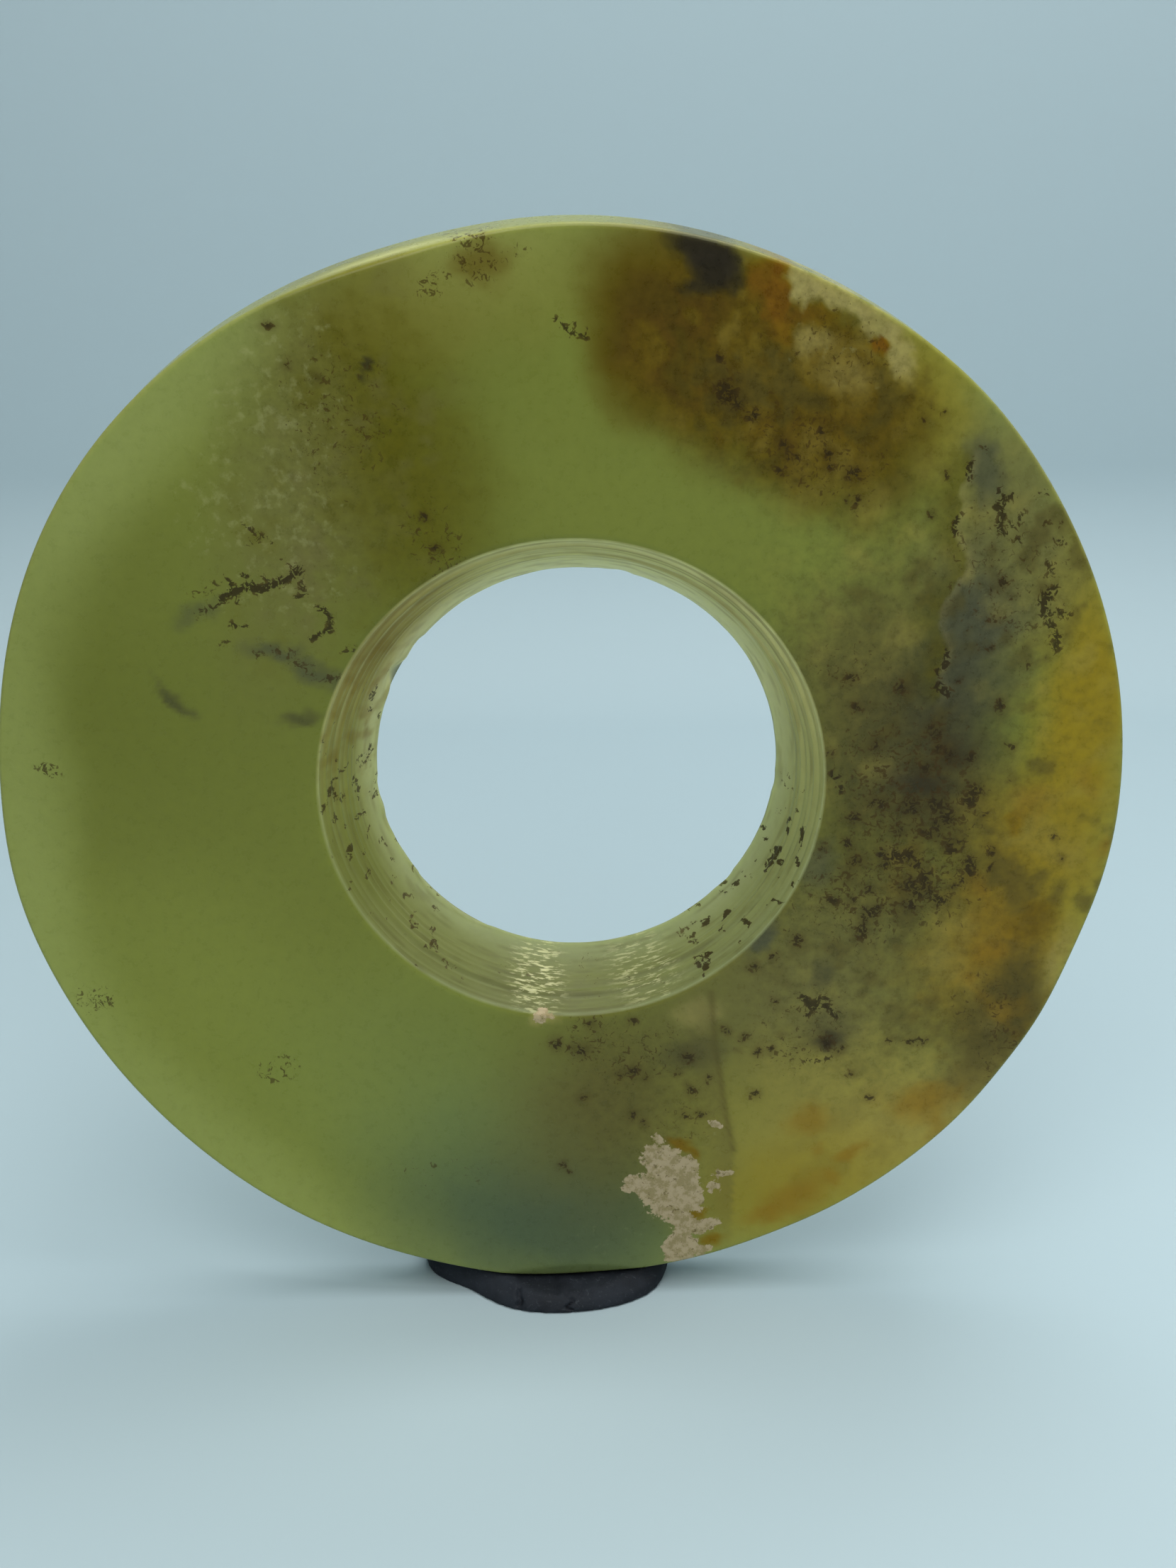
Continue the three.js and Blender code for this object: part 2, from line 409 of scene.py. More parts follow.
# Smaller blots with firmer edges
blots = [
    ("ink", (13.6, 57.4), (3.4, 1.8), -15, 0.4, 0.95),
    ("ink", (14.7, 55.9), (2.5, 1.8), 0, 0.4, 0.9),
    ("ink", (13.4, 54.0), (1.9, 1.4), 10, 0.5, 0.8),
    ("ink", (16.2, 54.3), (1.5, 1.3), 0, 0.5, 0.7),
    ("rust", (21.6, 55.4), (1.2, 1.1), 0, 0.3, 0.95),
    ("rust", (19.8, 54.6), (1.8, 2.4), -20, 0.5, 0.75),
    ("rust", (20.7, 52.3), (1.1, 2.0), 0, 0.4, 0.8),
    ("rust", (21.3, 49.8), (1.1, 2.0), 15, 0.6, 0.55),
    ("rust", (24.2, 51.0), (2.6, 0.7), 5, 0.5, 0.4),
    ("bone", (23.4, 53.4), (1.9, 1.5), -20, 0.3, 0.9),
    ("bone", (27.2, 52.6), (3.4, 1.2), -27, 0.3, 0.85),
    ("bone", (31.2, 50.0), (2.4, 1.2), -38, 0.4, 0.7),
    ("bone", (33.3, 46.8), (1.4, 2.7), 25, 0.4, 0.8),
    ("bone", (24.6, 48.2), (2.2, 1.5), 0, 0.5, 0.5),
    ("bone", (28.0, 45.0), (2.4, 1.6), 0, 0.7, 0.3),
    ("rust", (31.2, 48.2), (1.2, 0.7), -15, 0.25, 0.95),
    ("slate", (42.8, 35.2), (2.0, 3.4), 15, 0.5, 0.6),
    ("ink", (37.5, 1.2), (3.6, 1.3), -8, 0.7, 0.6),
    ("ink", (41.2, 4.4), (2.0, 1.6), 0, 0.7, 0.4),
    ("slate", (27.0, -8.0), (2.0, 2.6), 0, 0.6, 0.5),
    ("slate", (21.0, -16.8), (2.4, 1.3), 50, 0.5, 0.7),
    ("ink", (28.9, -29.6), (1.3, 0.8), 0, 0.6, 0.6),
    ("ash", (29.6, -28.2), (3.0, 2.2), 0, 0.8, 0.4),
    ("ash", (28.3, -21.3), (1.3, 1.6), 0, 0.6, 0.5),
    ("ash", (14.0, -31.0), (3.0, 1.8), 0, 0.7, 0.45),
    ("bone", (14.5, -26.2), (2.4, 2.0), 0, 0.6, 0.5),
    ("amber", (27.5, -39.8), (2.4, 1.8), 10, 0.7, 0.55),
    ("amber", (40.0, -38.0), (3.0, 2.0), 10, 0.7, 0.6),
    ("amber", (32.2, -44.6), (1.7, 0.8), 30, 0.5, 0.6),
    ("amber", (28.6, -44.0), (0.9, 0.8), 0, 0.6, 0.4),
    ("amber", (30.6, -47.2), (1.0, 0.8), 0, 0.6, 0.45),
    ("amber", (26.4, -49.6), (3.4, 2.0), 25, 0.8, 0.6),
    ("amber", (23.0, -52.2), (2.4, 1.2), 10, 0.8, 0.6),
    ("rust", (48.9, -3.7), (1.1, 1.6), 0, 0.5, 0.35),
    ("amber", (50.0, -0.8), (2.4, 1.8), 0, 0.7, 0.45),
    ("umber", (51.6, -15.2), (2.6, 1.6), 40, 0.7, 0.55),
    ("bone", (55.0, -19.5), (1.4, 4.0), -14, 0.6, 0.35),
    ("umber", (-8.0, 56.2), (2.5, 2.1), 0, 0.7, 0.5),
    ("ash", (-28.0, 9.4), (1.9, 0.9), 5, 0.7, 0.55),
    ("ash", (-40.6, 11.4), (2.6, 0.6), -48, 0.7, 0.6),
    ("slate", (-30.5, 16.6), (2.6, 0.9), -5, 0.8, 0.6),
    ("slate", (-26.0, 14.2), (3.0, 0.9), -22, 0.8, 0.6),
    ("slate", (-38.0, 21.0), (2.4, 0.8), 25, 0.8, 0.4),
    ("ink", (-19.7, 45.8), (0.6, 0.55), 0, 0.5, 0.7),
    ("ink", (-20.5, 44.7), (0.5, 0.4), 0, 0.5, 0.6),
    ("bone", (-2.5, -26.4), (1.6, 0.9), 0, 0.5, 0.6),
]

# Twigs of dark mineral: a bent line, its half-width and its strength
twigs = [
    ([(-27.8, 25.2), (-29.6, 24.0), (-31.0, 23.3), (-33.0, 23.4), (-34.4, 22.9), (-35.6, 22.2)], 0.6, 1.0),
    ([(-33.4, 24.9), (-32.3, 23.7)], 0.4, 0.95),
    ([(-30.5, 23.9), (-31.4, 25.0)], 0.35, 0.85),
    ([(-33.6, 23.3), (-34.1, 21.8)], 0.35, 0.85),
    ([(-36.4, 21.9), (-37.3, 22.5)], 0.35, 0.8),
    ([(-37.4, 21.3), (-38.1, 20.2)], 0.35, 0.75),
    ([(-35.8, 23.5), (-36.7, 24.4)], 0.35, 0.75),
    ([(-35.1, 24.5), (-34.4, 23.3)], 0.4, 0.9),
    ([(-35.4, 22.3), (-37.0, 21.5), (-38.3, 21.0)], 0.5, 0.8),
    ([(-35.6, 23.6), (-37.8, 23.2), (-39.0, 22.7)], 0.5, 0.65),
    ([(-27.1, 25.6), (-27.3, 24.0), (-26.9, 22.9), (-28.0, 22.6)], 0.5, 0.85),
    ([(-32.9, 30.0), (-31.8, 29.4), (-31.2, 28.6), (-30.1, 28.2)], 0.45, 0.85),
    ([(-32.6, 28.2), (-31.2, 28.5)], 0.4, 0.75),
    ([(-29.8, 27.6), (-28.9, 26.2), (-28.2, 25.8)], 0.4, 0.65),
    ([(-25.8, 21.5), (-25.0, 21.2), (-24.3, 20.2), (-24.7, 18.9), (-26.6, 18.0)], 0.55, 0.95),
    ([(-24.0, 22.2), (-24.3, 20.6)], 0.4, 0.8),
    ([(-23.4, 16.8), (-21.9, 16.8)], 0.5, 0.8),
    ([(-34.8, 19.6), (-33.6, 19.1), (-32.9, 19.2)], 0.4, 0.85),
    ([(-35.3, 18.0), (-37.3, 16.6)], 0.35, 0.8),
    ([(-32.4, 16.4), (-30.6, 16.8), (-28.8, 16.5), (-28.0, 15.3), (-26.6, 14.3)], 0.8, 0.7),
    ([(-26.0, 13.9), (-24.0, 13.6), (-23.3, 12.4)], 0.8, 0.75),
    ([(-1.4, 50.6), (0.1, 49.6), (1.0, 49.2), (2.1, 48.8)], 0.4, 0.9),
    ([(0.8, 50.0), (2.0, 49.6)], 0.35, 0.8),
    ([(41.4, 36.1), (41.2, 35.2), (41.0, 34.1)], 0.4, 1.0),
    ([(40.2, 30.2), (39.9, 29.4), (40.0, 28.6)], 0.45, 1.0),
    ([(40.1, 16.0), (40.1, 14.7), (39.3, 13.6)], 0.55, 1.0),
    ([(39.5, 12.2), (40.0, 11.6), (40.4, 11.2)], 0.8, 1.0),
    ([(42.0, 37.8), (42.5, 38.1), (42.8, 37.5)], 0.45, 0.85),
    ([(44.3, 33.0), (45.1, 32.4), (45.8, 32.4)], 0.7, 0.95),
    ([(45.0, 32.3), (44.9, 31.7), (44.2, 31.1), (44.9, 30.5), (44.7, 29.5)], 0.65, 0.95),
    ([(44.8, 29.0), (45.3, 28.3)], 0.55, 0.9),
    ([(45.8, 29.6), (46.2, 28.9), (46.7, 29.6), (46.9, 30.5)], 0.45, 0.85),
    ([(46.0, 28.3), (46.6, 27.6)], 0.5, 0.9),
    ([(48.2, 32.3), (49.0, 33.0), (49.5, 32.6)], 0.4, 0.8),
    ([(49.5, 29.6), (49.8, 29.6)], 0.5, 0.85),
    ([(50.7, 29.2), (51.0, 29.3), (51.3, 29.8)], 0.35, 0.8),
    ([(50.7, 27.9), (51.2, 27.5), (51.7, 27.4)], 0.5, 0.85),
    ([(50.3, 23.9), (50.6, 24.5), (50.0, 25.4)], 0.6, 0.8),
    ([(49.7, 22.3), (51.1, 22.4)], 0.55, 0.95),
    ([(50.3, 22.2), (50.1, 21.6), (49.6, 21.0), (49.9, 19.8)], 0.75, 1.0),
    ([(50.0, 19.9), (50.7, 20.0), (51.4, 20.1), (52.9, 19.5)], 0.65, 0.85),
    ([(50.5, 19.0), (51.1, 18.1), (51.5, 17.3), (51.5, 16.1)], 0.75, 0.9),
    ([(47.6, 13.5), (48.5, 14.1), (49.6, 14.8)], 0.4, 0.75),
    ([(47.8, 14.4), (48.4, 13.4)], 0.35, 0.75),
    ([(48.5, 14.6), (49.0, 13.7)], 0.35, 0.75),
    ([(28.2, 2.5), (29.2, 1.4), (29.6, 0.3)], 0.45, 0.95),
    ([(29.0, 1.7), (29.6, 2.7), (30.4, 2.9)], 0.4, 0.75),
    ([(26.0, -24.2), (27.2, -25.4), (28.6, -25.4), (30.0, -26.6)], 0.6, 0.95),
    ([(26.6, -26.4), (27.6, -24.4), (28.9, -24.6)], 0.5, 0.85),
    ([(26.6, -32.0), (27.8, -32.4), (29.4, -32.0)], 0.45, 0.85),
]

# Single specks and small clumps: x, z and radius
clumps = [
    (39.3, 6.9, 1.2), (39.6, 5.1, 0.8), (41.0, 4.7, 0.9), (38.2, 2.8, 1.0), (32.8, 5.3, 0.8),
    (35.3, 12.2, 0.8),
    (34.0, -1.4, 0.9), (32.8, -1.2, 0.8), (37.2, -1.5, 1.4), (40.1, -1.3, 1.3), (41.2, -2.6, 1.3),
    (40.4, -3.5, 0.9), (44.0, 0.1, 1.2), (43.4, -1.1, 1.0), (31.0, -2.9, 1.0), (36.2, -4.6, 0.7),
    (34.3, -6.7, 0.9), (34.8, -8.0, 1.0), (35.7, -7.2, 1.2), (37.3, -7.5, 1.2), (38.2, -8.8, 0.9),
    (39.5, -10.1, 1.1), (39.6, -11.3, 1.1), (43.7, -8.4, 1.0), (44.0, -9.3, 1.0), (42.8, -10.1, 0.7),
    (41.9, -10.7, 0.7), (37.7, -10.8, 1.1), (38.7, -11.6, 1.1), (37.7, -13.0, 1.2), (40.9, -12.6, 1.2),
    (32.9, -11.2, 0.9), (31.4, -7.7, 0.8), (30.7, -8.3, 0.6), (33.0, -14.3, 1.2), (33.9, -13.9, 0.8),
    (32.7, -14.8, 1.1), (32.5, -16.2, 1.0), (29.1, -12.7, 0.7), (41.6, -5.5, 0.7), (42.5, -6.0, 0.7),
    (41.7, -6.6, 0.6), (40.1, -4.9, 0.7), (39.2, -4.8, 0.6), (47.0, 5.5, 0.5), (48.0, 5.2, 0.4),
    (46.0, 9.1, 0.7), (46.2, 9.7, 0.6), (45.9, -7.0, 0.7), (46.2, -8.9, 0.5), (45.2, -3.0, 0.5),
    (47.9, 1.5, 0.5), (30.1, 13.0, 0.6), (30.9, 9.9, 0.6), (28.0, 4.7, 0.5), (43.3, 4.1, 1.0),
    (30.5, -5.9, 0.8), (27.6, -6.1, 0.7), (31.0, -12.7, 0.7), (53.0, -5.2, 0.5), (53.7, -8.0, 0.6),
    (16.1, 43.3, 1.6), (17.3, 42.2, 1.2), (18.7, 40.7, 0.7), (22.2, 38.2, 0.8), (22.8, 36.8, 0.7),
    (25.8, 39.2, 0.7), (26.7, 37.0, 0.8), (21.8, 35.3, 0.7), (23.5, 34.2, 0.5), (29.4, 34.7, 0.9),
    (28.7, 32.1, 0.5), (29.9, 32.0, 0.5), (23.8, 36.6, 0.4), (26.7, 35.7, 0.8), (36.7, 42.0, 0.4),
    (36.2, 40.5, 0.5), (38.1, 41.2, 0.5), (10.5, 42.9, 0.4), (37.5, 30.8, 0.4), (15.6, 46.7, 0.6),
    (44.3, 22.8, 0.5), (45.2, 23.5, 0.7), (46.5, 22.2, 0.5), (45.0, 19.2, 0.7), (44.9, 15.9, 0.5),
    (41.5, 12.4, 0.5), (38.9, 34.8, 0.5), (-27.8, 46.1, 0.5), (-24.7, 44.6, 0.5), (-29.4, 50.2, 0.5),
    (2.7, -25.3, 0.5), (2.8, -27.2, 0.6), (-1.3, -29.4, 0.8), (0.8, -29.8, 0.7), (1.8, -30.4, 1.0),
    (6.9, -27.3, 0.5), (5.8, -33.6, 0.6), (7.3, -33.2, 0.9), (8.7, -34.4, 0.5), (13.2, -31.2, 0.9),
    (12.5, -33.5, 0.5), (13.9, -35.5, 0.7), (15.8, -34.2, 0.5), (1.6, -36.5, 0.6), (7.4, -39.1, 0.6),
    (8.8, -40.1, 0.5), (23.0, -24.3, 0.5), (17.4, -28.5, 0.6), (19.5, -29.1, 0.5), (21.4, -30.6, 0.6),
    (22.8, -30.7, 0.4), (18.9, -30.6, 0.4), (23.8, -28.8, 0.4), (21.1, -36.2, 0.7), (32.0, -33.9, 0.5),
    (34.0, -37.0, 0.5), (38.9, -30.0, 0.7), (36.6, -29.9, 0.6), (40.3, -30.2, 0.6), (-0.7, -45.5, 0.5),
    (-0.1, -46.2, 0.4), (13.3, -38.8, 0.7), (15.4, -38.9, 0.7), (20.6, -20.6, 0.6), (22.6, -19.2, 0.7),
    (25.2, -17.4, 0.8), (28.9, -29.8, 0.9), (30.6, -30.8, 0.6), (-14.6, 31.0, 0.5), (-13.2, 27.4, 0.6),
    (-12.0, 24.9, 0.5),
]

# Where fine dark specks gather: middle, half-sizes, turn, edge, amount
speckAreas = [
    ((37, 0), (10, 13), 10, 0.7, 0.64),
    ((35, -12), (12, 10), 0, 0.7, 0.62),
    ((24, 38), (12, 5.0), -38, 0.6, 0.56),
    ((8, -31), (9, 6), 0, 0.6, 0.55),
    ((2, -28), (3.4, 6), 0, 0.6, 0.62),
    ((31, 15), (6, 6), 0, 0.7, 0.52),
    ((-8, 56), (3.4, 2.8), 0, 0.6, 0.66),
    ((-3.4, 56), (1.6, 1.2), 0, 0.6, 0.6),
    ((-12, 54), (2.2, 1.4), 0, 0.6, 0.6),
    ((-14, 28), (4, 7), 20, 0.7, 0.57),
    ((-22, 42), (9, 10), 0, 0.7, 0.52),
    ((-57, 4), (2, 1.2), 0, 0.6, 0.74),
    ((45, 25), (7, 12), 0, 0.7, 0.53),
    ((27, -28), (7, 8), 0, 0.6, 0.52),
    ((48, -30), (4, 12), 22, 0.6, 0.56),
    ((14, -40), (5, 4), 0, 0.6, 0.5),
    ((-34, -32), (3, 1.5), 0, 0.5, 0.6),
    ((-14, -46), (9, 4), 0, 0.7, 0.42),
    ((27, 48), (9, 6), -30, 0.6, 0.52),
    ((-53, -23), (2.6, 2.2), 0, 0.5, 0.7),
]

# Where small pale flecks gather: middle, half-sizes, turn, edge, amount
fleckAreas = [
    ((-31, 37), (10, 16), -10, 0.5, 0.72),
    ((-28, 26), (9, 9), 0, 0.7, 0.66),
    ((-27, 50), (8, 5), 20, 0.6, 0.68),
    ((-1, -36), (4, 8), 10, 0.8, 0.5),
    ((5, -55), (6, 3), 0, 0.6, 0.62),
    ((16.5, -44), (2.5, 4), 0, 0.7, 0.62),
    ((26, 46), (9, 5), -30, 0.8, 0.5),
    ((44, 28), (6, 8), 0, 0.8, 0.45),
    ((34, -38), (10, 7), 20, 0.8, 0.42),
]

# A jagged seam down the right side, as points from its top to its foot
seam = [
    (41.4, 37.3), (41.3, 36.0), (41.1, 35.0), (40.9, 34.1), (40.1, 33.3), (40.4, 32.2), (40.7, 31.5),
    (40.5, 30.7), (39.9, 29.4), (40.0, 28.7), (40.3, 28.1), (40.7, 27.3), (41.3, 26.8), (41.5, 25.4),
    (41.4, 24.2), (40.6, 23.7), (40.2, 22.5), (39.3, 21.3), (38.9, 20.1), (39.0, 18.9), (39.4, 17.2),
    (40.0, 16.0), (39.3, 13.6), (39.2, 13.0), (39.8, 11.5), (39.5, 10.8), (38.9, 9.5),
]

# The chalky crust at the bottom, in the areas' terms, and its rust: middle, half-sizes and turn
crust = [
    ((10.9, -45.2), (2.4, 2.6), 20, 0.4, 1),
    ((12.6, -47.2), (2.6, 3.0), 0, 0.35, 1),
    ((10.2, -48.4), (2.6, 1.8), -20, 0.4, 1),
    ((12.6, -50.0), (3.0, 2.6), -15, 0.35, 1),
    ((13.2, -52.6), (1.7, 1.6), 0, 0.45, 1),
    ((12.9, -56.3), (2.0, 2.1), 0, 0.35, 1),
    ((15.6, -53.6), (2.4, 0.9), 14, 0.35, 1),
    ((15.0, -57.1), (2.0, 0.8), 18, 0.45, 1),
    ((17.0, -48.8), (0.8, 0.8), 0, 0.4, 1),
    ((18.2, -47.0), (1.2, 0.5), 25, 0.45, 1),
    ((16.7, -40.7), (0.6, 0.4), 0, 0.55, 1),
    ((7.1, -47.5), (0.8, 1.2), 0, 0.45, 1),
    ((10.4, -41.9), (0.5, 0.9), 0, 0.65, 1),
    ((-2.6, -26.2), (1.2, 0.8), 0, 0.55, 1),
]
rustSpots = [
    ((12.6, -42.5), (1.5, 0.7), -30),
    ((14.2, -44.0), (0.9, 0.7), -40),
    ((14.8, -52.1), (1.0, 0.8), 0),
    ((16.8, -55.7), (1.6, 0.9), 15),
]

# The hairline that runs down from the hole, and painted glints low on the hole's wall
hairline = [(16.0, -23.5), (16.6, -30.3), (17.4, -35.0), (18.0, -38.9), (19.0, -43.7)]
wallGlints = [((-3.4, -23.0), (2.7, 2.9), 0, 0.6, 1.0), ((8.6, -22.2), (3.4, 2.6), 0, 0.6, 0.6)]

# Where the brown and the haze have their own texture, and where the stone is mottled rather than clear
brownArea = [((22, 45), (15, 10), -33, 0.4, 1)]
hazeAreas = [((-20, 42), (8, 14), 10, 0.7, 1), ((-27, 30), (6, 12), 0, 0.8, 1)]
mottledAreas = [
    ((22, 45), (16, 11), -33, 0.4, 1.0),
    ((38, 0), (22, 42), 0, 0.4, 0.7),
    ((-22, 38), (11, 17), 10, 0.6, 0.5),
    ((9, -37), (10, 13), 0, 0.6, 0.5),
]

# How outlines wander: lump size, amount and seed of each push
gentle = [(14.0, 3.2, 4)]
broad = [*gentle, (3.0, 1.3, 6)]
ragged = [(3.0, 1.1, 8), (1.0, 0.8, 9)]
crumbly = [(3.0, 0.9, 8), (0.9, 0.7, 10)]
clumpy = [(3.0, 0.7, 8), (0.9, 0.45, 10)]
wavy = [(1.5, 0.5, 23)]

# Noise in the stone: lump size, seed and octaves
texture = {
    "slow": (24.0, 12, 2),
    "cloudy": (3.4, 14, 4),
    "fine": (1.3, 15, 2),
    "mottled": (3.6, 18, 4),
    "patchy": (5.0, 19, 4),
    "stain": (1.6, 20, 3),
    "pits": (1.1, 22, 2),
}

# The hole's middle, how strong each ledge's painted shade and highlight lines are, and these lines:
# colour, place behind the ledge, width
wallMiddle = (0.9, 1.2)
ledgeShadingStrengths = [0.7, 0.2, 0.5, 0.65, 0.15, 0.5, 0.2, 0.35, 0.2]
ledgeShadeAndHighlight = [("bark", 0.08, 0.12), ("lip", -0.16, 0.12)]

# The painted highlight on the rim's worn bevel: degrees, width and strength
rimHighlight = (109, 7, 0.9)


def nearClumps(points, reach):
    # 1 at the middle of a clump, less around it, with a ragged outline
    close = drift(points, clumpy)
    near = np.zeros(len(points))
    for x, z, radius in clumps:
        away = np.hypot(close[:, 0] - x, close[:, 2] - z)
        near = np.maximum(near, peak(away, radius * reach))
    return near


def layered(tint, layers):
    # each colour laid over the last by its mask
    for name, mask in layers:
        tint = tint + (np.array(palette[name], float) - tint) * mask[:, None]
    return tint


def painted(tint, points, patches):
    return layered(tint, ((name, oval(points, *place) * strength) for name, *place, strength in patches))


def clearStone(points):
    # green that varies slowly and is painted paler towards the rim as glow of light through the thinning
    # edge, and its clouds
    slow = lumps(points, *texture["slow"])
    tint = layered(np.full((len(points), 3), palette["leaf"], float), [
        ("lightLeaf", smooth(0.0, 0.6, slow) * 0.4),
        ("shadeLeaf", smooth(0.0, 0.6, -slow) * 0.4),
        ("edgeGlow", smooth(50.5, 59.5, np.hypot(points[:, 0], points[:, 2])) * 0.6),
    ])
    return painted(tint, drift(points, broad), clouds)


def mottleStone(tint, points, onWall):
    # texture inside the brown and the haze, and over the whole right side
    x, _, z = points.T
    names = ("cloudy", "fine", "mottled", "patchy")
    cloudy, fine, mottled, patchy = (lumps(points, *texture[name]) for name in names)
    wide = drift(points, broad)
    brown = strongest(wide, brownArea)
    haze = strongest(wide, hazeAreas)
    rightSide = smooth(16, 34, x) * (1 - onWall) * smooth(42, 30, z)
    darker = rightSide * smooth(0.05, 0.45, -mottled - 0.25 * fine)
    orange = rightSide * smooth(30, 46, x) * smooth(14, 0, z) * smooth(0.05, 0.5, patchy)
    return layered(tint, [
        ("khaki", brown * smooth(0.0, 0.3, cloudy) * 0.65),
        ("bark", brown * smooth(0.0, 0.3, -cloudy) * 0.6),
        ("umber", brown * smooth(0.1, 0.6, -fine) * 0.45),
        ("grey", haze * smooth(0.05, 0.5, cloudy + 0.3 * fine) * 0.55),
        ("olive", haze * smooth(0.05, 0.5, -cloudy - 0.3 * fine) * 0.5),
        ("straw", rightSide * smooth(0.05, 0.5, mottled) * 0.34),
        ("bark", darker * (0.15 + 0.4 * smooth(-36, -22, z))),
        ("amber", orange * 0.5),
    ])


def drawLines(tint, points):
    # the jagged seam, with a pale thin edge beyond it and darker stone before it
    x, y, z = points.T
    line = np.array(seam[::-1])
    beyond = x - np.interp(z, line[:, 1], line[:, 0])
    along = smooth(9, 12, z) * smooth(38, 36, z)

    # the hairline, darker on its left, and the rust by the crust
    off = x - np.interp(-z, [-a[1] for a in hairline], [a[0] for a in hairline])
    beside = smooth(-22, -26, z) * smooth(-58, -50, z)
    tint = layered(tint, [
        ("bone", smooth(-0.1, 0.2, beyond) * smooth(1.3, 0.3, beyond) * along * 0.24),
        ("olive", smooth(-4.0, -0.2, beyond) * smooth(0.15, -0.1, beyond) * along * 0.5),
        ("drab", smooth(-4.5, -0.3, off) * smooth(0.1, -0.1, off) * beside * 0.4),
        ("bark", peak(lineDistance(points, hairline), 0.34) * 0.45 * (y < 0)),
    ])
    torn = drift(points, ragged)
    return layered(tint, (("rust", oval(torn, *spot, 0.6) * 0.6 * (y < 0)) for spot in rustSpots))


def paintWall(tint, points, onWall):
    # brighter towards its top and right and at its thin back lip, as painted glow of light through the
    # stone; a painted highlight at its front edge; darker at its lower left front; browner at the upper
    # left; lined by painted shade and highlights along the ledges
    x, y, z = points.T
    angle = angleRound(points, wallMiddle)
    depth = y + disc["thickness"] / 2
    upper = smooth(-0.2, 0.95, np.sin(np.radians(angle - 8)))
    across = np.cos(np.radians(angle))
    shade = smooth(0.2, 0.9, -across) * smooth(6.8, 4.0, depth) * smooth(-18, -9, z)
    layers = [
        ("wall", 0.85),
        # painted glow of light through the stone, towards the wall's top and right
        ("wallGlow", upper * 0.9),
        ("wallGlow", smooth(-0.1, 0.8, across) * 0.4),
        ("shadeLeaf", shade * 0.5),
        ("khaki", peak(angle - 140, 24) * 0.45),
        # painted glow at the thin back lip, then a painted highlight along the front edge
        ("lip", smooth(3.8, 7.6, depth) * (0.5 + 0.3 * upper)),
        ("lip", smooth(0.5, 0.1, depth) * 0.45),
    ]
    # painted shade just behind each ledge and a painted highlight just before it
    for i, shading in enumerate(ledgeShadingStrengths):
        behind = depth - ledgePlace(i, angle)
        strength = shading * (0.3 + 0.7 * upper) * (0.7 + 0.3 * np.sin(2.1 * i + np.radians(3 * angle)))
        layers += [(name, peak(behind - place, width) * strength) for name, place, width in ledgeShadeAndHighlight]
    streaky = lumps(np.stack([angle * 0.12, depth * 3.2, 0 * x], 1), 1.0, 20, 3)
    stained = smooth(-12, -20, x) * smooth(-4, 4, z) * smooth(22, 12, z)
    layers += [
        ("bark", smooth(0.0, 0.5, streaky) * 0.2),
        ("umber", stained * smooth(-0.1, 0.5, lumps(points, *texture["stain"])) * 0.3),
    ]
    return layered(tint, [(name, onWall * mask) for name, mask in layers])


def paintRim(tint, points):
    # the rim is paler, with a painted highlight on its worn bevel
    swells = swellAt(disc["swells"], angleRound(points) % 360)
    onRim = smooth(59.5, 59.9, np.hypot(points[:, 0], points[:, 2]) - swells)
    wearAndHighlight = swellAt([rimHighlight], angleRound(points, wallMiddle) % 360) * smooth(-1.0, -2.5, points[:, 1])
    return layered(tint, [("rim", onRim * 0.5), ("wearAndHighlight", onRim * wearAndHighlight)])


def stoneColour(points, onWall):
    tint = mottleStone(clearStone(points), points, onWall)
    tint = painted(tint, drift(points, ragged), blots)
    tint = layered(tint, [("soot", nearClumps(points, 1.2) * (1 - onWall) * 0.36)])
    tint = drawLines(tint, points)
    return paintRim(paintWall(tint, points, onWall), points)


def marksAndGlints(points, onWall):
    # how much dark mineral, chalk, wall and pale fleck there is at each point; on the wall the last holds
    # painted glints of light on the ledges instead of flecks
    x, y, z = points.T
    wide, close, bent = (drift(points, pushes) for pushes in (broad, crumbly, wavy))
    mineral = strongest(wide, speckAreas)
    for line, half, strength in twigs:
        mineral = np.maximum(mineral, peak(lineDistance(bent, line), half * 1.3) * strength)
    mineral = np.maximum(mineral, nearClumps(points, 1.6) * 0.88)
    chalk = strongest(close, crust) * (y < 0)
    for spot in rustSpots:
        chalk = chalk * (1 - 0.85 * oval(close, *spot, 0.4))

    # pits low on the hole's wall, most at the lower right and on the left
    pitted = np.maximum(smooth(9, 16, x) * smooth(4, -4, z), smooth(-4, -16, x) * smooth(18, 10, z) * 0.8)
    pitted = np.maximum(pitted, smooth(-10, -18, z) * 0.5)
    pits = smooth(0.12, 0.4, lumps(points, *texture["pits"])) * pitted
    mineral = np.where(onWall > 0, pits * 0.95, mineral)
    # pale flecks on the faces, and painted glints on the hole's wall
    fleckAndGlint = np.where(onWall > 0, strongest(points, wallGlints), strongest(wide, fleckAreas))
    return mineral, chalk, onWall, fleckAndGlint


